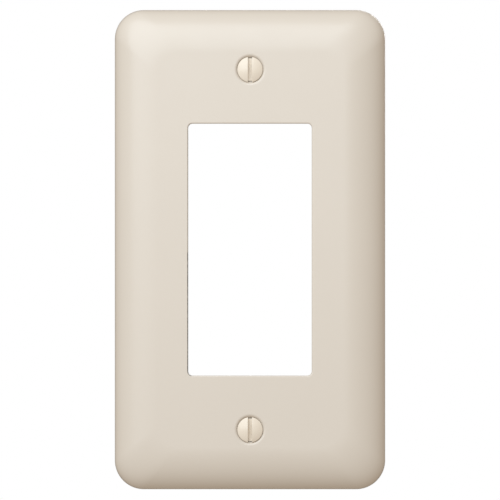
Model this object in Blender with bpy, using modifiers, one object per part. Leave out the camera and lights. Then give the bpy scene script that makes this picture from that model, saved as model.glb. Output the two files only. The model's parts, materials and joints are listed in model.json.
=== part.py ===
"""A one-gang wall plate for a rectangular wiring device, with the two screws that hold it.

The plate is one stamping of sheet steel: a flat face with a rectangular opening and two pressed
countersinks, and a border that rolls back to a short skirt against the wall. The screws are
#6-32 oval heads with a right-hand thread.

Everything is modelled lying on its back: X to the right, Y up the wall, and Z out of the wall, from
the wall plane at 0. The empty wall_plate then stands the parts up against the wall, so in the world
the front faces -Y, +Z is up, and the wall plane is y = 0. The world origin is the middle of the
opening, in the wall plane.
"""

from math import cos, pi, radians, sin, tan

import bmesh
import bpy

MM = 0.001
INCH = 25.4 * MM

# The screws: #6-32 UNC, 5/8 inch long, 82 degree oval head
SCREW_LENGTH = 5 / 8 * INCH
HEAD_RADIUS = 3.45 * MM
DOME_HEIGHT = 0.875 * MM
CONE_TAN = tan(radians(82 / 2))
NECK_RADIUS = 1.5 * MM
NECK_END = 3.0 * MM
THREAD_PITCH = INCH / 32
MAJOR_RADIUS = 0.138 * INCH / 2
# 60 degree flanks, each 3/8 of a pitch long, between a crest and a root of 1/8
MINOR_RADIUS = MAJOR_RADIUS - 3 / 8 * THREAD_PITCH / tan(radians(60 / 2))
TIP_CHAMFER = 0.5 * MM
SLOT_WIDTH = 1.1 * MM
SLOT_DEPTH = 1.35 * MM

# The plate
SCREW_SPACING = (3 + 13 / 16) * INCH
PLATE_WIDTH = 72.75 * MM
PLATE_HEIGHT = 128.95 * MM
# with this depth the domes stand as far in front of the wall plane as the tips reach behind it
PLATE_DEPTH = (SCREW_LENGTH - DOME_HEIGHT) / 2
SHEET = 0.9 * MM
SKIRT_HEIGHT = 0.8 * MM
ROLL_WIDTH = 11.2 * MM
ROLL_RISE = PLATE_DEPTH - SKIRT_HEIGHT
OUTLINE_RADIUS = 7.8 * MM
FLAT_RADIUS = 6.0 * MM
OPENING_WIDTH = 33.2 * MM
OPENING_HEIGHT = 67.7 * MM
OPENING_RADIUS = 1.2 * MM

# The pressed countersinks, each a cone with a rounded lip and a short straight hole
MOUTH_RADIUS = 3.85 * MM
LIP_RADIUS = 0.9 * MM
HOLE_RADIUS = 2.1 * MM
HOLE_DEPTH = (MOUTH_RADIUS - HOLE_RADIUS) / CONE_TAN
LAND = 0.35 * MM
DIMPLE_WALL = 0.8 * MM

# How far shapes that a Boolean joins or cuts reach past each other
OVERLAP = 0.3 * MM
EMBED = 0.08 * MM
WELD = 0.001 * MM

CORNER_STEPS = 8
ROLL_STEPS = 9
LIP_STEPS = 2
DOME_STEPS = 4
TURN_STEPS = 24
THREAD_STEPS = 16


def clear_scene():
    for obj in list(bpy.data.objects):
        bpy.data.objects.remove(obj, do_unlink=True)


def new_collection(name):
    collection = bpy.data.collections.new(name)
    bpy.context.scene.collection.children.link(collection)
    return collection


def new_object(name, mesh, collection):
    obj = bpy.data.objects.new(name, mesh)
    collection.objects.link(obj)
    return obj


def new_cutter(name, mesh):
    """A helper for a Boolean, drawn as wires and left out of renders."""
    obj = new_object(name, mesh, cutters)
    obj.display_type = "WIRE"
    obj.hide_render = True
    return obj


def linear(*srgb):
    """A colour given as 0 to 255 in sRGB, as the linear values that a material takes."""
    shares = [channel / 255 for channel in srgb]
    return [share / 12.92 if share <= 0.04045 else ((share + 0.055) / 1.055) ** 2.4 for share in shares]


def new_material(name, srgb, roughness, metallic):
    material = bpy.data.materials.new(name)
    material.use_nodes = True
    shader = material.node_tree.nodes["Principled BSDF"]
    shader.inputs["Base Color"].default_value = (*linear(*srgb), 1.0)
    shader.inputs["Roughness"].default_value = roughness
    shader.inputs["Metallic"].default_value = metallic
    return material


def evaluated_mesh(obj):
    """A new mesh with the object's modifiers applied."""
    graph = bpy.context.evaluated_depsgraph_get()
    return bpy.data.meshes.new_from_object(obj.evaluated_get(graph))


def add_boolean(obj, other, operation):
    modifier = obj.modifiers.new(f"{operation.lower()} {other.name}", "BOOLEAN")
    modifier.operation = operation
    modifier.solver = "EXACT"
    modifier.object = other


def turned(profile):
    """A solid turned about Z, from (radius, height) points that run down its outer side."""
    mesh = bpy.data.meshes.new("profile")
    points = [(radius, 0, height) for radius, height in profile]
    edges = [(i, i + 1) for i in range(len(points) - 1)]
    mesh.from_pydata(points, edges, [])
    blank = new_object("blank", mesh, cutters)
    screw = blank.modifiers.new("turn", "SCREW")
    screw.steps = screw.render_steps = TURN_STEPS
    screw.use_merge_vertices = True
    screw.merge_threshold = 0.00001
    solid = evaluated_mesh(blank)
    bpy.data.objects.remove(blank)
    return solid


def rounded_rectangle(half_width, half_height, radius):
    """Points round a rectangle with arcs for corners, anticlockwise from the right-hand side."""
    points = []
    for corner, (side_x, side_y) in enumerate([(1, 1), (-1, 1), (-1, -1), (1, -1)]):
        for step in range(CORNER_STEPS + 1):
            angle = pi / 2 * (corner + step / CORNER_STEPS)
            x = side_x * (half_width - radius) + radius * cos(angle)
            y = side_y * (half_height - radius) + radius * sin(angle)
            points.append((x, y))
    return points


def plate_sections():
    """(half width, half height, corner radius, height) from the wall, up the skirt, over the roll
    and in to the opening. The roll is a quarter of an ellipse, upright at the skirt and level at
    the face, and its corners tighten on the way in."""
    yield PLATE_WIDTH / 2, PLATE_HEIGHT / 2, OUTLINE_RADIUS, 0
    for step in range(ROLL_STEPS + 1):
        angle = pi / 2 * step / ROLL_STEPS
        share = 1 - cos(angle)
        inset = ROLL_WIDTH * share
        radius = OUTLINE_RADIUS + (FLAT_RADIUS - OUTLINE_RADIUS) * share
        height = SKIRT_HEIGHT + ROLL_RISE * sin(angle)
        yield PLATE_WIDTH / 2 - inset, PLATE_HEIGHT / 2 - inset, radius, height
    yield OPENING_WIDTH / 2, OPENING_HEIGHT / 2, OPENING_RADIUS, PLATE_DEPTH


def plate_skin():
    """The plate's outer surface as an open sheet, lofted through its sections."""
    bm = bmesh.new()
    loops = []
    for half_width, half_height, radius, height in plate_sections():
        corners = [bm.verts.new((x, y, height)) for x, y in rounded_rectangle(half_width, half_height, radius)]
        loops.append([bm.edges.new(pair) for pair in zip(corners, corners[1:] + corners[:1])])
    for lower, upper in zip(loops, loops[1:]):
        bmesh.ops.bridge_loops(bm, edges=lower + upper)
    bmesh.ops.recalc_face_normals(bm, faces=bm.faces)
    outermost = max(bm.faces, key=lambda face: face.calc_center_median().x)
    if outermost.normal.x < 0:
        bmesh.ops.reverse_faces(bm, faces=bm.faces)
    mesh = bpy.data.meshes.new("plate_skin")
    bm.to_mesh(mesh)
    bm.free()
    return mesh


def dimple_boss():
    """The metal behind the face that a pressed countersink pushes back, from the middle of the sheet."""
    wall = DIMPLE_WALL / cos(radians(82 / 2))
    bottom = HOLE_DEPTH + LAND
    middle = SHEET / 2
    return turned(
        [
            (0, PLATE_DEPTH - middle),
            (MOUTH_RADIUS - middle * CONE_TAN + wall, PLATE_DEPTH - middle),
            (MOUTH_RADIUS - bottom * CONE_TAN + wall, PLATE_DEPTH - bottom),
            (0, PLATE_DEPTH - bottom),
        ]
    )


def countersink():
    """What a pressed countersink leaves open: a rounded lip, an 82 degree cone and a hole."""
    lip_angle = pi / 2 - radians(82 / 2)
    lip_start = MOUTH_RADIUS + LIP_RADIUS * tan(lip_angle / 2)
    lip = []
    for step in range(LIP_STEPS + 1):
        angle = lip_angle * step / LIP_STEPS
        lip.append((lip_start - LIP_RADIUS * sin(angle), PLATE_DEPTH - LIP_RADIUS * (1 - cos(angle))))
    # the first facet of the lip carries on outwards, so that the cutter crosses the face cleanly
    (outer, top), (inner, below) = lip[:2]
    lead_in = (outer + OVERLAP, top + OVERLAP * (top - below) / (outer - inner))
    return turned(
        [
            (0, lead_in[1]),
            lead_in,
            *lip[1:],
            (HOLE_RADIUS, PLATE_DEPTH - HOLE_DEPTH),
            (HOLE_RADIUS, PLATE_DEPTH - HOLE_DEPTH - LAND - OVERLAP),
            (0, PLATE_DEPTH - HOLE_DEPTH - LAND - OVERLAP),
        ]
    )


def build_cover_plate(enamel):
    """The plate: a skin given the thickness of the sheet, then a dimple at each screw."""
    blank = new_object("plate_blank", plate_skin(), cutters)
    solidify = blank.modifiers.new("sheet", "SOLIDIFY")
    solidify.thickness = SHEET
    solidify.offset = -1
    solidify.use_even_offset = True
    boss, sink = dimple_boss(), countersink()
    for place, side in (("upper", 1), ("lower", -1)):
        for kind, mesh, operation in (("boss", boss, "UNION"), ("countersink", sink, "DIFFERENCE")):
            helper = new_cutter(f"{place}_{kind}", mesh)
            helper.location.y = side * SCREW_SPACING / 2
            add_boolean(blank, helper, operation)
    mesh = evaluated_mesh(blank)
    bpy.data.objects.remove(blank)
    mesh.name = "cover_plate"
    mesh.materials.clear()
    mesh.materials.append(enamel)
    return new_object("cover_plate", mesh, parts)


def head_and_neck():
    """The head and the plain neck under it, turned, with the rim of the head at height 0."""
    sphere = (HEAD_RADIUS**2 + DOME_HEIGHT**2) / (2 * DOME_HEIGHT)
    dome = []
    for step in range(DOME_STEPS + 1):
        radius = HEAD_RADIUS * step / DOME_STEPS
        dome.append((radius, DOME_HEIGHT - sphere + (sphere**2 - radius**2) ** 0.5))
    neck_top = (HEAD_RADIUS - NECK_RADIUS) / CONE_TAN
    inside = MINOR_RADIUS - EMBED
    return turned(
        [
            *dome,
            (NECK_RADIUS, -neck_top),
            (NECK_RADIUS, -NECK_END),
            (inside, -NECK_END - (NECK_RADIUS - inside)),
            (0, -NECK_END - (NECK_RADIUS - inside)),
        ]
    )


def close_with_fan(bm, edges, height):
    """Closes a ring of edges with faces that meet on the axis."""
    centre = bm.verts.new((0, 0, height))
    for edge in edges:
        bm.faces.new((*edge.verts, centre))


def threaded_rod():
    """A solid right-hand thread: one pitch of its outline swept up a helix, so that each turn meets
    the next, and closed at both ends by a fan of faces to the axis."""
    outline = [
        (MINOR_RADIUS, 0, 0),
        (MINOR_RADIUS, 0, 1 / 8 * THREAD_PITCH),
        (MAJOR_RADIUS, 0, 4 / 8 * THREAD_PITCH),
        (MAJOR_RADIUS, 0, 5 / 8 * THREAD_PITCH),
        (MINOR_RADIUS, 0, THREAD_PITCH),
    ]
    pitch_outline = bpy.data.meshes.new("pitch_outline")
    pitch_outline.from_pydata(outline, [(0, 1), (1, 2), (2, 3), (3, 4)], [])
    turns = int((SCREW_LENGTH - NECK_END) / THREAD_PITCH) + 2
    helper = new_object("rod", pitch_outline, cutters)
    helix = helper.modifiers.new("helix", "SCREW")
    helix.steps = helix.render_steps = THREAD_STEPS
    helix.screw_offset = THREAD_PITCH
    helix.iterations = turns
    mesh = evaluated_mesh(helper)
    bpy.data.objects.remove(helper)
    bm = bmesh.new()
    bm.from_mesh(mesh)
    bmesh.ops.remove_doubles(bm, verts=bm.verts, dist=WELD)
    middle = turns * THREAD_PITCH / 2
    open_edges = [edge for edge in bm.edges if edge.is_boundary]
    lower_end = [edge for edge in open_edges if edge.verts[0].co.z < middle]
    upper_end = [edge for edge in open_edges if edge.verts[0].co.z > middle]
    close_with_fan(bm, lower_end, THREAD_PITCH / 2)
    close_with_fan(bm, upper_end, (turns + 1 / 2) * THREAD_PITCH)
    bmesh.ops.recalc_face_normals(bm, faces=bm.faces)
    bmesh.ops.translate(bm, verts=bm.verts, vec=(0, 0, -SCREW_LENGTH - THREAD_PITCH - EMBED))
    bm.to_mesh(mesh)
    bm.free()
    return mesh


def thread_envelope():
    """The space the thread may fill: it fades into the neck and is chamfered at the tip."""
    outer = MAJOR_RADIUS + EMBED
    return turned(
        [
            (0, -NECK_END + EMBED),
            (NECK_RADIUS - EMBED, -NECK_END + EMBED),
            (outer, -NECK_END - THREAD_PITCH),
            (outer, -SCREW_LENGTH + TIP_CHAMFER),
            (outer - TIP_CHAMFER, -SCREW_LENGTH),
            (0, -SCREW_LENGTH),
        ]
    )


def slot_cutter():
    """A box for the driver slot, across the whole head."""
    bm = bmesh.new()
    bmesh.ops.create_cube(bm, size=1)
    top = DOME_HEIGHT + OVERLAP
    bottom = DOME_HEIGHT - SLOT_DEPTH
    bmesh.ops.scale(bm, verts=bm.verts, vec=(SLOT_WIDTH, 2 * HEAD_RADIUS + 2 * OVERLAP, top - bottom))
    bmesh.ops.translate(bm, verts=bm.verts, vec=(0, 0, (top + bottom) / 2))
    mesh = bpy.data.meshes.new("slot")
    bm.to_mesh(mesh)
    bm.free()
    return mesh


def screw_mesh(enamel, plating):
    """One whole screw: enamelled on top of its head and in its slot, and plated below."""
    rod = new_object("rod", threaded_rod(), cutters)
    add_boolean(rod, new_cutter("thread_envelope", thread_envelope()), "INTERSECT")
    thread = new_cutter("thread", evaluated_mesh(rod))
    blank = new_object("screw_blank", head_and_neck(), cutters)
    add_boolean(blank, thread, "UNION")
    add_boolean(blank, new_cutter("slot", slot_cutter()), "DIFFERENCE")
    mesh = evaluated_mesh(blank)
    for helper in (rod, blank):
        bpy.data.objects.remove(helper)
    mesh.name = "oval_head_screw"
    mesh.materials.clear()
    mesh.materials.append(enamel)
    mesh.materials.append(plating)
    for face in mesh.polygons:
        beside_slot = abs(face.center.x) > SLOT_WIDTH / 2 + EMBED
        below_slot = face.center.z < DOME_HEIGHT - SLOT_DEPTH - EMBED
        face.material_index = int(below_slot or (beside_slot and face.center.z < 0))
    return mesh


def build_screws(mesh):
    """The two screws, each with its origin on its own axis, at the rim of its head."""
    screws = []
    for place, side in (("upper", 1), ("lower", -1)):
        screw = new_object(f"{place}_screw", mesh, parts)
        screw.location = (0, side * SCREW_SPACING / 2, PLATE_DEPTH)
        screws.append(screw)
    return screws


def shade(mesh):
    """Round surfaces are drawn smooth and real edges sharp."""
    mesh.shade_smooth()
    mesh.set_sharp_from_angle(angle=radians(30))


clear_scene()
parts = new_collection("decorator_wall_plate")
cutters = new_collection("cutters")
plate_enamel = new_material("plate_enamel", (228, 219, 207), roughness=0.38, metallic=0.0)
screw_enamel = new_material("screw_enamel", (242, 231, 215), roughness=0.32, metallic=0.0)
zinc_plate = new_material("zinc_plate", (198, 200, 202), roughness=0.35, metallic=1.0)

cover_plate = build_cover_plate(plate_enamel)
screws = build_screws(screw_mesh(screw_enamel, zinc_plate))
for part_mesh in {obj.data for obj in (cover_plate, *screws)}:
    shade(part_mesh)

stand = new_object("wall_plate", None, parts)
stand.rotation_euler.x = pi / 2
for obj in (cover_plate, *screws, *cutters.objects):
    obj.parent = stand
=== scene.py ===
"""Looks for the wall plate: fine meshes in place of the three CAD nodes, their paint and zinc, and
a studio.

The front faces -Y and the wall plane is y = 0. Each fine mesh is one closed surface, made of grids
of points that follow worked-out sections and are then welded. Sizes that the frame holds are read
from it. The rest, such as the rounding of a sheared edge, are named here.
"""

import json
from math import acos, atan2, ceil, cos, floor, pi, radians, sin, sqrt, tan

import bmesh
import bpy
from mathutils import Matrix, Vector


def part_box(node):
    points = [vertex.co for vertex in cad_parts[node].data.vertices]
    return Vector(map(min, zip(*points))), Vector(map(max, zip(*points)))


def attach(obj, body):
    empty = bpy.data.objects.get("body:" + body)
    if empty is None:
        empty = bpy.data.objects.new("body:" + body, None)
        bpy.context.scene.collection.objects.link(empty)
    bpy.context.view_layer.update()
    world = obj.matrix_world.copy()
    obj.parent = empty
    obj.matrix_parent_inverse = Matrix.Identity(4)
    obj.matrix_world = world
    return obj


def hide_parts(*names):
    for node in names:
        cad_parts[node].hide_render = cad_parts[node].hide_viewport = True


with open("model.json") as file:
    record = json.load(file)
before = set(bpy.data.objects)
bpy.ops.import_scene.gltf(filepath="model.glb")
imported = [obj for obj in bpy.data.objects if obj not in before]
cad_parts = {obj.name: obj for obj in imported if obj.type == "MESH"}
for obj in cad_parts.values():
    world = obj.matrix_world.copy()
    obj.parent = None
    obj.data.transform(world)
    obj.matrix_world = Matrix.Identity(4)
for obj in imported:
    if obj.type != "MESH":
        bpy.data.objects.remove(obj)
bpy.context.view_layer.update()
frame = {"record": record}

MM = 0.001

# Sizes taken from the frame
MOUNTS = {mount["name"]: mount["pos_m"] for mount in frame["record"]["mounts"]}
PLATE_LOW, PLATE_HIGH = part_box("cover_plate")
FACE = PLATE_LOW.y
HALF_WIDTH = PLATE_HIGH.x
HALF_HEIGHT = PLATE_HIGH.z
SHEET = 2 * (HALF_HEIGHT - MOUNTS["wall_rim"][2])
OPENING_HALF_WIDTH = MOUNTS["opening_right"][0]
OPENING_HALF_HEIGHT = MOUNTS["opening_top"][2]
SCREW_HEIGHTS = {"upper": MOUNTS["upper_screw_tip"][2], "lower": MOUNTS["lower_screw_tip"][2]}
SCREW_REACH = MOUNTS["upper_screw_tip"][1] - FACE
HEAD_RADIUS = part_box("upper_screw")[1].x

# The plate's border: a flat face that rolls over into a short skirt
SKIRT = 0.8 * MM
ROLL_WIDTH = 11.2 * MM
ROLL_RISE = -FACE - SKIRT
OUTLINE_RADIUS = 7.8 * MM
FLAT_RADIUS = 6.0 * MM
RIM_ROUNDING = 0.14 * MM

# The opening is sheared from the front, which rolls its front edge over and leaves the rear crisp
OPENING_RADIUS = 1.2 * MM
DIE_ROLL = 0.38 * MM
BURR_ROUNDING = 0.08 * MM

# The pressed countersinks
SINK_ANGLE = radians(82 / 2)
MOUTH_RADIUS = 3.85 * MM
LIP_RADIUS = 0.9 * MM
HOLE_RADIUS = 2.1 * MM
HOLE_LAND = 0.35 * MM
DIMPLE_WALL = 0.8 * MM
DIMPLE_FILLET = 0.45 * MM

# The #6-32 oval-head screws
DOME_HEIGHT = 0.875 * MM
DOME_SPHERE = (HEAD_RADIUS**2 + DOME_HEIGHT**2) / (2 * DOME_HEIGHT)
HEAD_ROUNDING = 0.09 * MM
SLOT_HALF_WIDTH = 0.55 * MM
SLOT_FLOOR = 1.35 * MM - DOME_HEIGHT
SLOT_ROUNDING = 0.07 * MM
NECK_RADIUS = 1.5 * MM
NECK_FILLET = 0.25 * MM
NECK_END = 3.0 * MM
PITCH = 25.4 / 32 * MM
MAJOR_RADIUS = 0.138 * 25.4 / 2 * MM
MINOR_RADIUS = MAJOR_RADIUS - 3 / 8 * PITCH / tan(radians(30))
CREST_FLAT = PITCH / 8
TIP_CHAMFER = 0.5 * MM
PAINT_DEPTH = SLOT_FLOOR + 0.15 * MM

# How finely curves are stepped
CORNER_STEPS = 24
ROLL_STEPS = 36
ARC_STEPS = 6
WALL_STEPS = 2
TURN_STEPS = 96
ROW_STEPS = 40
DOME_STEPS = 12
FLOOR_STEPS = 3
ROD_STEPS = 48
THREAD_ROWS = 12

# A flat band beside each curved edge keeps that edge's smooth shading off the flat face
FLAT_BAND = 0.3 * MM
WELD = 0.0002 * MM
CRISP_ANGLE = radians(65)


# ---------------------------------------------------------------- meshes


def arc(centre, radius, start, end, steps):
    """Points on an arc in a section's plane, from one angle to another, both ends included."""
    angles = [start + (end - start) * step / steps for step in range(steps + 1)]
    return [(centre[0] + radius * cos(angle), centre[1] + radius * sin(angle)) for angle in angles]


def rounded_rectangle(half_width, half_height, radius, y):
    """A closed row of points round a rectangle with round corners, upright at depth y."""
    row = []
    for corner, (side_x, side_z) in enumerate([(1, 1), (-1, 1), (-1, -1), (1, -1)]):
        for step in range(CORNER_STEPS + 1):
            angle = pi / 2 * (corner + step / CORNER_STEPS)
            x = side_x * (half_width - radius) + radius * cos(angle)
            z = side_z * (half_height - radius) + radius * sin(angle)
            row.append((x, y, z))
    return [*row, row[0]]


def circle(radius, y, height, steps):
    """A closed row of points round a screw's axis, upright at depth y."""
    angles = [2 * pi * step / steps for step in range(steps + 1)]
    return [(radius * cos(angle), y, height + radius * sin(angle)) for angle in angles]


def add_grid(bm, rows):
    """Quads between neighbouring rows of points. Points that coincide are welded later."""
    grid = [[bm.verts.new(point) for point in row] for row in rows]
    for row, following in zip(grid, grid[1:]):
        for i in range(1, len(row)):
            bm.faces.new((row[i - 1], row[i], following[i], following[i - 1]))


def open_edges(bm, y=None):
    """The edges of the surface's openings, or only those that lie at depth y."""
    edges = [edge for edge in bm.edges if edge.is_boundary]
    if y is None:
        return edges
    return [edge for edge in edges if all(abs(vert.co.y - y) < WELD for vert in edge.verts)]


def new_piece(name, bm, material):
    """The finished bmesh as an object with outward normals and even, smooth shading."""
    bmesh.ops.recalc_face_normals(bm, faces=bm.faces)
    mesh = bpy.data.meshes.new(name)
    bm.to_mesh(mesh)
    bm.free()
    mesh.shade_smooth()
    mesh.set_sharp_from_angle(angle=CRISP_ANGLE)
    mesh.materials.append(material)
    piece = bpy.data.objects.new(name, mesh)
    bpy.context.scene.collection.objects.link(piece)
    normals = piece.modifiers.new("even shading", "WEIGHTED_NORMAL")
    normals.keep_sharp = True
    return piece


# ---------------------------------------------------------------- the plate


def border_section():
    """(inset, y, corner radius) from the flat of the face, down the roll and the skirt, across the
    rear rim, and back up inside to the rear of the face."""
    outside = []
    inside = []
    for step in range(ROLL_STEPS + 1):
        angle = pi / 2 * (1 - step / ROLL_STEPS)
        share = 1 - cos(angle)
        inset = ROLL_WIDTH * share
        y = -SKIRT - ROLL_RISE * sin(angle)
        corner = OUTLINE_RADIUS + (FLAT_RADIUS - OUTLINE_RADIUS) * share
        inward = Vector((ROLL_RISE * cos(angle), ROLL_WIDTH * sin(angle))).normalized() * SHEET
        outside.append((inset, y, corner))
        inside.append((inset + inward.x, y + inward.y, corner - inward.x))
    rim = arc((RIM_ROUNDING, -RIM_ROUNDING), RIM_ROUNDING, pi, pi / 2, ARC_STEPS)
    rim += arc((SHEET - RIM_ROUNDING, -RIM_ROUNDING), RIM_ROUNDING, pi / 2, 0, ARC_STEPS)
    skirt = [(inset, y, OUTLINE_RADIUS - inset) for inset, y in rim]
    flat_inset = ROLL_WIDTH + FLAT_BAND
    flat_corner = FLAT_RADIUS - FLAT_BAND
    front = (flat_inset, FACE, flat_corner)
    rear = (flat_inset, FACE + SHEET, flat_corner)
    return [front, *outside, *skirt, *reversed(inside), rear]


def opening_section():
    """(distance outside the opening, y) of its sheared edge, from the front to the rear."""
    rear = FACE + SHEET
    rolled = arc((DIE_ROLL, FACE + DIE_ROLL), DIE_ROLL, -pi / 2, -pi, 2 * ARC_STEPS)
    crisp = arc((BURR_ROUNDING, rear - BURR_ROUNDING), BURR_ROUNDING, pi, pi / 2, ARC_STEPS)
    return [(DIE_ROLL + FLAT_BAND, FACE), *rolled, *crisp, (BURR_ROUNDING + FLAT_BAND, rear)]


def dimple_section():
    """(radius, y) of a pressed countersink: the lip, the cone and the hole in front, then the metal
    that was pushed back behind them, which meets the rear of the face in a fillet."""
    turn = pi / 2 - SINK_ANGLE
    setback = tan(turn / 2)
    lip_start = MOUTH_RADIUS + LIP_RADIUS * setback
    lip = arc((lip_start, FACE + LIP_RADIUS), LIP_RADIUS, -pi / 2, -pi / 2 - turn, 2 * ARC_STEPS)

    hole_start = FACE + (MOUTH_RADIUS - HOLE_RADIUS) / tan(SINK_ANGLE)
    end = hole_start + HOLE_LAND
    edge_centre = (HOLE_RADIUS + BURR_ROUNDING, end - BURR_ROUNDING)
    hole_edge = arc(edge_centre, BURR_ROUNDING, pi, pi / 2, ARC_STEPS)

    # the rear cone runs a wall's thickness outside the front one
    rear_mouth = MOUTH_RADIUS + DIMPLE_WALL / cos(SINK_ANGLE)
    end_radius = rear_mouth - (end - FACE) * tan(SINK_ANGLE)
    nose_centre = (end_radius - RIM_ROUNDING * setback, end - RIM_ROUNDING)
    nose = arc(nose_centre, RIM_ROUNDING, pi / 2, pi / 2 - turn, ARC_STEPS)
    fillet_end = rear_mouth - SHEET * tan(SINK_ANGLE) + DIMPLE_FILLET * setback
    fillet_centre = (fillet_end, FACE + SHEET + DIMPLE_FILLET)
    fillet = arc(fillet_centre, DIMPLE_FILLET, -pi / 2 - turn, -pi / 2, ARC_STEPS)

    front = (lip_start + FLAT_BAND, FACE)
    rear = (fillet_end + FLAT_BAND, FACE + SHEET)
    return [front, *lip, (HOLE_RADIUS, hole_start), *hole_edge, *nose, *fillet, rear]


def build_plate(material):
    """The plate, with flat fills between the border, the opening and the two countersinks."""
    bm = bmesh.new()
    border_rows = []
    for inset, y, corner in border_section():
        border_rows.append(rounded_rectangle(HALF_WIDTH - inset, HALF_HEIGHT - inset, corner, y))
    add_grid(bm, border_rows)

    opening_rows = []
    for gap, y in opening_section():
        half_width = OPENING_HALF_WIDTH + gap
        half_height = OPENING_HALF_HEIGHT + gap
        opening_rows.append(rounded_rectangle(half_width, half_height, OPENING_RADIUS + gap, y))
    add_grid(bm, opening_rows)

    for height in SCREW_HEIGHTS.values():
        add_grid(bm, [circle(radius, y, height, TURN_STEPS) for radius, y in dimple_section()])

    bmesh.ops.remove_doubles(bm, verts=bm.verts, dist=WELD)
    for y in (FACE, FACE + SHEET):
        bmesh.ops.triangle_fill(bm, edges=open_edges(bm, y), use_beauty=True)
    return new_piece("enamelled_steel_plate", bm, material)


# ---------------------------------------------------------------- the screws
# Depths are measured from the plate's face, into the wall.


def dome_depth(x, z):
    """Depth of the dome's surface at a point of the head."""
    return DOME_SPHERE - DOME_HEIGHT - sqrt(DOME_SPHERE**2 - x**2 - z**2)


def cone_radius(depth):
    """Radius of the head's cone at a depth."""
    return HEAD_RADIUS - depth * tan(SINK_ANGLE)


def rim_rounding():
    """(centre, first angle) of the arc, in (radius, depth), that rounds the dome into the cone."""
    out = Vector((cos(SINK_ANGLE), sin(SINK_ANGLE)))
    along = Vector((-sin(SINK_ANGLE), cos(SINK_ANGLE)))
    sphere_centre = Vector((0, DOME_SPHERE - DOME_HEIGHT))
    # slide down the line inside the cone to where the rounding also touches the dome
    start = Vector((HEAD_RADIUS, 0)) - out * HEAD_ROUNDING - sphere_centre
    excess = start.length_squared - (DOME_SPHERE - HEAD_ROUNDING) ** 2
    travel = -start.dot(along) - sqrt(start.dot(along) ** 2 - excess)
    from_sphere = start + along * travel
    return sphere_centre + from_sphere, atan2(from_sphere.y, from_sphere.x)


RIM_CENTRE, RIM_START = rim_rounding()


def rim_chain():
    """(radius, depth) from the edge of the dome, round the rim, and down the cone as far as the
    slot's floor."""
    chain = arc(RIM_CENTRE, HEAD_ROUNDING, RIM_START, SINK_ANGLE, ARC_STEPS)
    cone_start = chain[-1][1]
    for step in range(1, WALL_STEPS + 1):
        depth = cone_start + (SLOT_FLOOR - cone_start) * step / WALL_STEPS
        chain.append((cone_radius(depth), depth))
    return chain


def head_outline(depth):
    """Radius of the rim or the cone at a depth past the dome's edge."""
    rise = depth - RIM_CENTRE.y
    if rise < HEAD_ROUNDING * sin(SINK_ANGLE):
        return RIM_CENTRE.x + sqrt(HEAD_ROUNDING**2 - rise**2)
    return cone_radius(depth)


def slot_chain(z):
    """(x, depth) from the dome, round the slot's edge and down its wall, at height z."""
    edge_x = SLOT_HALF_WIDTH + SLOT_ROUNDING
    edge_depth = dome_depth(edge_x, z)
    chain = arc((edge_x, edge_depth + SLOT_ROUNDING), SLOT_ROUNDING, -pi / 2, -pi, ARC_STEPS)
    wall_start = chain[-1][1]
    for step in range(1, WALL_STEPS + 1):
        chain.append((SLOT_HALF_WIDTH, wall_start + (SLOT_FLOOR - wall_start) * step / WALL_STEPS))
    return chain


def head_rows(rim):
    """Rows across the right half of the head's front, from the rim to the middle of the slot's
    floor. The first and last rows are the slot's two open ends."""
    dome_radius = rim[0][0]
    edge_x = SLOT_HALF_WIDTH + SLOT_ROUNDING
    last_angle = acos(edge_x / dome_radius)
    edge_height = dome_radius * sin(last_angle)
    floor_xs = [SLOT_HALF_WIDTH * (1 - step / FLOOR_STEPS) for step in range(1, FLOOR_STEPS + 1)]
    end_chain = slot_chain(edge_height) + [(x, SLOT_FLOOR) for x in floor_xs]
    end_heights = [sqrt(head_outline(depth) ** 2 - x**2) for x, depth in end_chain]
    rows = []
    for step in range(ROW_STEPS + 1):
        angle = last_angle * (2 * step / ROW_STEPS - 1)
        z = dome_radius * sin(angle)
        share = z / edge_height
        rim_x = dome_radius * cos(angle)
        row = []
        for dome_step in range(DOME_STEPS):
            x = rim_x + (edge_x - rim_x) * dome_step / DOME_STEPS
            row.append((x, dome_depth(x, z), z))
        chain = slot_chain(z) + [(x, SLOT_FLOOR) for x in floor_xs]
        row += [(x, depth, share * height) for (x, depth), height in zip(chain, end_heights)]
        rows.append(row)
    return rows


def flank_columns(rim, rows):
    """Columns down the right half of the rim and the cone, between the slot's two open ends."""
    slot_steps = range(DOME_STEPS, DOME_STEPS + len(rim))
    columns = [[rows[0][step] for step in slot_steps]]
    for row in rows[1:-1]:
        angle = atan2(row[0][2], row[0][0])
        columns.append([(radius * cos(angle), depth, radius * sin(angle)) for radius, depth in rim])
    columns.append([rows[-1][step] for step in slot_steps])
    return columns


def neck_section():
    """(radius, depth) from just below the slot's floor, down the cone and a fillet to the neck."""
    out = Vector((cos(SINK_ANGLE), sin(SINK_ANGLE)))
    cone_start = SLOT_FLOOR + HEAD_ROUNDING
    fillet_x = NECK_RADIUS + NECK_FILLET
    fillet_depth = (NECK_FILLET + (HEAD_RADIUS - fillet_x) * out.x) / out.y
    fillet = arc((fillet_x, fillet_depth), NECK_FILLET, SINK_ANGLE + pi, pi, ARC_STEPS)
    middle = (cone_start + fillet[0][1]) / 2
    return [(cone_radius(cone_start), cone_start), (cone_radius(middle), middle), *fillet]


def thread_radius(angle, depth):
    """Radius of the right-hand thread, which runs out into the neck and is chamfered at the tip."""
    turns = depth / PITCH + angle / (2 * pi)
    from_crest = abs(turns - floor(turns + 0.5)) * PITCH
    below_crest = max(0, from_crest - CREST_FLAT / 2) / tan(radians(30))
    thread = max(MAJOR_RADIUS - below_crest, MINOR_RADIUS)
    run_out = min(1, (depth - NECK_END) / PITCH)
    tip_limit = MAJOR_RADIUS - TIP_CHAMFER + SCREW_REACH - depth
    return min(NECK_RADIUS + (thread - NECK_RADIUS) * run_out, tip_limit)


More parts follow.
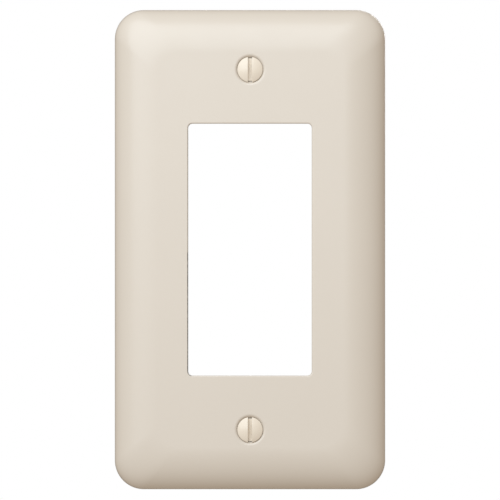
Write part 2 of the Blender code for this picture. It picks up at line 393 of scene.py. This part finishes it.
def rod_rows():
    """Closed rows from the cone, down the neck and the thread, to the rim of the tip."""
    rows = [circle(radius, depth, 0, ROD_STEPS) for radius, depth in neck_section()]
    thread_length = SCREW_REACH - NECK_END
    row_count = ceil(thread_length / (PITCH / THREAD_ROWS))
    for step in range(row_count + 1):
        depth = NECK_END + thread_length * step / row_count
        row = []
        for turn in range(ROD_STEPS + 1):
            angle = 2 * pi * (turn % ROD_STEPS) / ROD_STEPS
            radius = thread_radius(angle, depth)
            row.append((radius * cos(angle), depth, radius * sin(angle)))
        rows.append(row)
    return rows


def build_screw(name, height, material):
    """A screw at this height: its head, with the right half mirrored to the left, and its rod."""
    bm = bmesh.new()
    rim = rim_chain()
    rows = head_rows(rim)
    for patch in (rows, flank_columns(rim, rows)):
        add_grid(bm, patch)
        add_grid(bm, [[(-x, depth, z) for x, depth, z in row] for row in patch])
    rod = rod_rows()
    add_grid(bm, rod)
    bmesh.ops.remove_doubles(bm, verts=bm.verts, dist=WELD)
    bmesh.ops.triangle_fill(bm, edges=open_edges(bm, SCREW_REACH), use_beauty=True)
    bmesh.ops.bridge_loops(bm, edges=open_edges(bm))
    bmesh.ops.translate(bm, verts=bm.verts, vec=(0, FACE, height))
    return new_piece(name, bm, material)


# ---------------------------------------------------------------- materials

# Colours that the record doesn't hold
THIN_PAINT = (0.5, 0.49, 0.47, 1)
# a darker tone for the skirt, down towards the wall
DARKER_SKIRT_TONE = (0.36, 0.35, 0.335, 1)
RUBBED_PAINT = (0.5, 0.48, 0.44, 1)
PRIMER = (0.46, 0.445, 0.42, 1)
# painted shade for the left side of the opening's cut edge
LEFT_EDGE_SHADE = (0.17, 0.165, 0.16, 1)
DULL_ZINC = (0.50, 0.51, 0.52, 1)
BRIGHT_ZINC = (0.66, 0.67, 0.68, 1)
# painted shade for the floor of a screw's slot
SLOT_SHADE = (0.5, 0.45, 0.38, 1)
PAPER = (0.80, 0.79, 0.78, 1)
PALE_PAPER = (0.83, 0.82, 0.81, 1)
WHITE = (1, 1, 1, 1)

# Where the plate's colour starts to darken and its gloss to fade, down towards the wall
SKIRT_FADE_START = -2.8 * MM


def feed(tree, socket, value):
    """Gives a socket a plain value, or links it to another node's output."""
    if isinstance(value, bpy.types.NodeSocket):
        tree.links.new(value, socket)
    else:
        socket.default_value = value


def feed_all(tree, node, inputs):
    for name, value in inputs.items():
        feed(tree, node.inputs[name], value)


def add_node(tree, kind, inputs=None, **settings):
    """A shader node with its settings, and its inputs from values or from other nodes' outputs."""
    node = tree.nodes.new(kind)
    for name, value in settings.items():
        setattr(node, name, value)
    feed_all(tree, node, inputs or {})
    return node


def separate(tree, vector):
    """The outputs X, Y and Z of a vector."""
    return add_node(tree, "ShaderNodeSeparateXYZ", {"Vector": vector}).outputs


def noise(tree, place, size, detail=2.0, roughness=0.5):
    """Soft noise between 0 and 1 whose features are about this size."""
    inputs = {"Vector": place, "Scale": 1 / size, "Detail": detail, "Roughness": roughness}
    return add_node(tree, "ShaderNodeTexNoise", inputs).outputs["Fac"]


def ramp(tree, value, low, high, to_low=0.0, to_high=1.0):
    """value between low and high, eased to the range to_low to to_high and held outside it."""
    source = {"Value": value, "From Min": low, "From Max": high}
    target = {"To Min": to_low, "To Max": to_high}
    node = add_node(tree, "ShaderNodeMapRange", source | target, interpolation_type="SMOOTHSTEP")
    return node.outputs["Result"]


def arithmetic(tree, operation, first, second=0.0):
    """The result of a maths node. An operation on one value ignores the second."""
    node = add_node(tree, "ShaderNodeMath", operation=operation)
    for socket, value in zip(node.inputs, (first, second)):
        feed(tree, socket, value)
    return node.outputs["Value"]


def product(tree, first, *others):
    for other in others:
        first = arithmetic(tree, "MULTIPLY", first, other)
    return first


def blend(tree, share, first, second):
    """The first colour where share is 0, and the second where it is 1."""
    node = add_node(tree, "ShaderNodeMix", data_type="RGBA")
    for name, value in {"Factor_Float": share, "A_Color": first, "B_Color": second}.items():
        feed(tree, next(item for item in node.inputs if item.identifier == name), value)
    return next(item for item in node.outputs if item.identifier == "Result_Color")


def bump(tree, height, distance, normal=None):
    """A normal bent by a height, on top of another normal if there is one."""
    inputs = {"Height": height, "Distance": distance}
    if normal is not None:
        inputs["Normal"] = normal
    return add_node(tree, "ShaderNodeBump", inputs).outputs["Normal"]


def mix_shaders(tree, share, first, second):
    """The material shows the first shader where share is 0, and the second where it is 1."""
    mix = add_node(tree, "ShaderNodeMixShader", {"Fac": share})
    tree.links.new(first, mix.inputs[1])
    tree.links.new(second, mix.inputs[2])
    tree.links.new(mix.outputs["Shader"], tree.nodes["Material Output"].inputs["Surface"])


def new_material(name):
    """(material, its node tree, its Principled BSDF, the object's own coordinates)."""
    material = bpy.data.materials.new(name)
    material.use_nodes = True
    tree = material.node_tree
    place = add_node(tree, "ShaderNodeTexCoord").outputs["Object"]
    return material, tree, tree.nodes["Principled BSDF"], place


def record_colour(index):
    """The base colour of one of the record's materials, in their order there."""
    return frame["record"]["materials"][index]["base_color"]


def shade(colour, factor):
    """A colour made lighter or darker, with an alpha of 1."""
    return (*(channel * factor for channel in colour), 1.0)


def beyond_opening(tree, position):
    """Distance outwards from the opening's edge, measured rightly at its round corners too."""
    squares = []
    for axis, half_size in (("X", OPENING_HALF_WIDTH), ("Z", OPENING_HALF_HEIGHT)):
        from_middle = arithmetic(tree, "ABSOLUTE", position[axis])
        beyond = arithmetic(tree, "SUBTRACT", from_middle, half_size - OPENING_RADIUS)
        beyond = arithmetic(tree, "MAXIMUM", beyond, 0)
        squares.append(product(tree, beyond, beyond))
    length = arithmetic(tree, "SQRT", arithmetic(tree, "ADD", *squares))
    return arithmetic(tree, "SUBTRACT", length, OPENING_RADIUS)


def behind_face(tree, position):
    """Depth from the plate's face, into the wall."""
    return arithmetic(tree, "SUBTRACT", position["Y"], FACE)


def front_paint(tree, place, position):
    """Colour of the plate's front: almond, with less paint on the cut edge, painted shade down the
    opening's left side, and darker down the skirt.
    """
    base = record_colour(0)
    clouds = noise(tree, place, 22 * MM, detail=3)
    colour = blend(tree, clouds, shade(base, 0.985), shade(base, 1.012))
    grain = ramp(tree, noise(tree, place, 0.6 * MM, detail=4), 0.3, 0.6, 0.6, 1)

    # the cut edge of the opening holds little paint
    outwards = beyond_opening(tree, position)
    thin = ramp(tree, outwards, 0.03 * MM, 0.22 * MM, 0.4, 0)
    colour = blend(tree, product(tree, thin, grain), colour, THIN_PAINT)

    # painted shade: the left side of the opening's edge, which turns away from the light, is near
    # black below the middle, and less so above it
    from_left = arithmetic(tree, "ADD", position["X"], OPENING_HALF_WIDTH)
    left_side = ramp(tree, from_left, OPENING_RADIUS / 3, OPENING_RADIUS, 1, 0)
    below_middle = ramp(tree, position["Z"], -1.5 * MM, 0, 1, 0.35)
    second_share = ramp(tree, outwards, 0.2 * MM, 0.36 * MM, 1, 0)
    second_share = product(tree, second_share, grain, left_side, below_middle)
    colour = blend(tree, second_share, colour, LEFT_EDGE_SHADE)

    # the colour darkens down the skirt, towards the wall
    skirt_darkening = ramp(tree, position["Y"], SKIRT_FADE_START, -0.9 * MM, 0, 0.6)
    return blend(tree, product(tree, skirt_darkening, grain), colour, DARKER_SKIRT_TONE)


def rear_paint(tree, place):
    """Colour of the plate's back, where the primer shows through the overspray in patches."""
    patches = ramp(tree, noise(tree, place, 9 * MM, detail=6, roughness=0.65), 0.35, 0.7)
    return blend(tree, patches, shade(record_colour(0), 0.82), PRIMER)


def plate_enamel():
    """Baked almond enamel with a fine orange peel in front, and a dry, gritty overspray behind."""
    material, tree, surface, place = new_material("plate_enamel")
    position = separate(tree, place)
    facing = add_node(tree, "ShaderNodeNewGeometry").outputs["Normal"]
    behind = ramp(tree, separate(tree, facing)["Y"], 0.1, 0.5)
    colour = blend(tree, behind, front_paint(tree, place, position), rear_paint(tree, place))

    roughness = ramp(tree, noise(tree, place, 5 * MM, detail=3), 0.2, 0.8, 0.34, 0.42)
    roughness = arithmetic(tree, "ADD", roughness, product(tree, behind, 0.22))

    peel = bump(tree, noise(tree, place, 1.3 * MM, detail=1.5), 0.006 * MM)
    grit = noise(tree, place, 0.25 * MM, detail=3)
    grit = product(tree, grit, arithmetic(tree, "ADD", behind, 0.12))

    # the baked gloss over the colour, which the dry edge of the skirt lacks
    gloss = ramp(tree, position["Y"], SKIRT_FADE_START, -1.2 * MM, 1, 0)
    inputs = {
        "Base Color": colour,
        "Roughness": roughness,
        "Normal": bump(tree, grit, 0.012 * MM, peel),
        "Specular IOR Level": product(tree, gloss, 0.5),
        "Coat Weight": product(tree, gloss, 0.45),
        "Coat Roughness": 0.25,
    }
    feed_all(tree, surface, inputs)
    return material


def head_paint(tree, place, position, clouds):
    """Colour of a screw's head: creamier almond, rubbed along the slot, with painted shade on its
    floor.
    """
    base = record_colour(1)
    colour = blend(tree, clouds, shade(base, 1.0), shade(base, 1.05))

    from_middle = arithmetic(tree, "ABSOLUTE", position["X"])
    from_edge = arithmetic(tree, "SUBTRACT", from_middle, SLOT_HALF_WIDTH)
    edge = ramp(tree, arithmetic(tree, "ABSOLUTE", from_edge), 0.02 * MM, 0.14 * MM, 1, 0)
    wear = ramp(tree, noise(tree, place, 0.5 * MM, detail=4), 0.45, 0.75, 0, 0.5)
    colour = blend(tree, product(tree, edge, wear), colour, RUBBED_PAINT)

    # painted shade: the slot's floor darkened towards its bottom, where the slot's walls shade it
    slot_shade = ramp(tree, behind_face(tree, position), SLOT_FLOOR - 0.25 * MM, SLOT_FLOOR, 0, 0.2)
    return blend(tree, slot_shade, colour, SLOT_SHADE)


def zinc_plating(tree, place):
    """The shader of mottled, finely grained zinc."""
    tone = blend(tree, noise(tree, place, 2.5 * MM, detail=4), DULL_ZINC, BRIGHT_ZINC)
    grain = noise(tree, place, 0.12 * MM, detail=3)
    inputs = {
        "Base Color": tone,
        "Metallic": 1.0,
        "Roughness": ramp(tree, grain, 0.2, 0.8, 0.26, 0.44),
        "Normal": bump(tree, grain, 0.003 * MM),
    }
    return add_node(tree, "ShaderNodeBsdfPrincipled", inputs).outputs["BSDF"]


def screw_finish():
    """Glossy enamel on the head, which ends in a ragged line down the cone, and zinc beyond it."""
    material, tree, enamel, place = new_material("screw_finish")
    position = separate(tree, place)
    clouds = noise(tree, place, 1.6 * MM, detail=3)
    inputs = {
        "Base Color": head_paint(tree, place, position, clouds),
        "Roughness": ramp(tree, clouds, 0.2, 0.8, 0.24, 0.32),
        "Normal": bump(tree, noise(tree, place, 0.7 * MM, detail=2), 0.004 * MM),
    }
    feed_all(tree, enamel, inputs)

    ragged = product(tree, noise(tree, place, 0.8 * MM, detail=4), 0.5 * MM)
    ragged_depth = arithmetic(tree, "ADD", behind_face(tree, position), ragged)
    second_share = ramp(tree, ragged_depth, PAINT_DEPTH + 0.2 * MM, PAINT_DEPTH + 0.3 * MM)
    mix_shaders(tree, second_share, enamel.outputs["BSDF"], zinc_plating(tree, place))
    return material


def floor_paper():
    """Pale paper, which can be seen through from below."""
    material, tree, surface, place = new_material("floor_paper")
    inputs = {
        "Base Color": blend(tree, noise(tree, place, 40 * MM, detail=4), PAPER, PALE_PAPER),
        "Normal": bump(tree, noise(tree, place, 0.8 * MM, detail=3), 0.02 * MM),
        "Roughness": 0.7,
    }
    feed_all(tree, surface, inputs)
    below = add_node(tree, "ShaderNodeNewGeometry").outputs["Backfacing"]
    clear = add_node(tree, "ShaderNodeBsdfTransparent").outputs["BSDF"]
    mix_shaders(tree, below, surface.outputs["BSDF"], clear)
    return material


# ---------------------------------------------------------------- the studio

MIDDLE = Vector((0, FACE, 0))
VIEW_WIDTH = 134.6 * MM
VIEW_CENTRE = -0.1 * MM
CAMERA_DISTANCE = 5.0
FLOOR_DROP = 36 * MM
FLOOR_HALF_SIZE = 1.5
FLOOR_CELLS = 12
ROOM_LEVEL = 0.445
ROOM_TINT = (1.0, 0.86, 0.71)
KEY_TINT = (0.825, 0.92, 1.0)


def add_softbox(name, colour, azimuth, elevation, distance, size, power):
    """A square light that the camera doesn't see. It faces the plate from azimuth degrees to the
    right of straight in front, and elevation degrees up."""
    across = radians(azimuth)
    up = radians(elevation)
    towards = Vector((sin(across) * cos(up), -cos(across) * cos(up), sin(up)))
    light = bpy.data.lights.new(name, "AREA")
    light.size = size
    light.energy = power
    light.color = colour
    lamp = bpy.data.objects.new(name, light)
    lamp.location = MIDDLE + towards * distance
    lamp.rotation_euler = towards.to_track_quat("Z", "Y").to_euler()
    lamp.visible_camera = False
    bpy.context.scene.collection.objects.link(lamp)


def build_world():
    """White to the camera, and a dim warm room for the light on the object."""
    world = bpy.data.worlds.new("studio")
    world.use_nodes = True
    bpy.context.scene.world = world
    tree = world.node_tree
    seen = add_node(tree, "ShaderNodeLightPath").outputs["Is Camera Ray"]
    light = blend(tree, seen, shade(ROOM_TINT, ROOM_LEVEL), WHITE)
    tree.links.new(light, tree.nodes["Background"].inputs["Color"])


def build_floor():
    """A sheet of paper some way below the object."""
    bm = bmesh.new()
    bmesh.ops.create_grid(bm, x_segments=FLOOR_CELLS, y_segments=FLOOR_CELLS, size=FLOOR_HALF_SIZE)
    mesh = bpy.data.meshes.new("floor")
    bm.to_mesh(mesh)
    bm.free()
    mesh.materials.append(floor_paper())
    sheet = bpy.data.objects.new("floor", mesh)
    sheet.location = (0, 0, -HALF_HEIGHT - FLOOR_DROP)
    # it shows the object's shadow, but neither lights the object from below nor shades it
    sheet.visible_diffuse = False
    sheet.visible_glossy = False
    sheet.visible_shadow = False
    bpy.context.scene.collection.objects.link(sheet)


def build_camera():
    """A long lens, square-on to the plate."""
    data = bpy.data.cameras.new("camera")
    data.lens = data.sensor_width * CAMERA_DISTANCE / VIEW_WIDTH
    data.clip_end = 4 * CAMERA_DISTANCE
    camera = bpy.data.objects.new("camera", data)
    camera.location = (0, -CAMERA_DISTANCE, VIEW_CENTRE)
    camera.rotation_euler = (pi / 2, 0, 0)
    bpy.context.scene.collection.objects.link(camera)
    bpy.context.scene.camera = camera


def build_studio():
    """The room, a wide key light in front, and a smaller light for views of the back."""
    bpy.context.scene.view_settings.view_transform = "Standard"
    build_world()
    build_floor()
    add_softbox("key", KEY_TINT, azimuth=-20, elevation=30, distance=0.8, size=0.9, power=6.35)
    add_softbox("back", WHITE[:3], azimuth=165, elevation=15, distance=1.5, size=0.6, power=10)
    build_camera()


# ---------------------------------------------------------------- everything together

plate = build_plate(plate_enamel())
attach(plate, "plate")
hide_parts("cover_plate")

screw_material = screw_finish()
for end, body in (("upper", "top_screw"), ("lower", "bottom_screw")):
    screw = build_screw(f"{end}_oval_head_screw", SCREW_HEIGHTS[end], screw_material)
    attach(screw, body)
    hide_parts(f"{end}_screw")

build_studio()
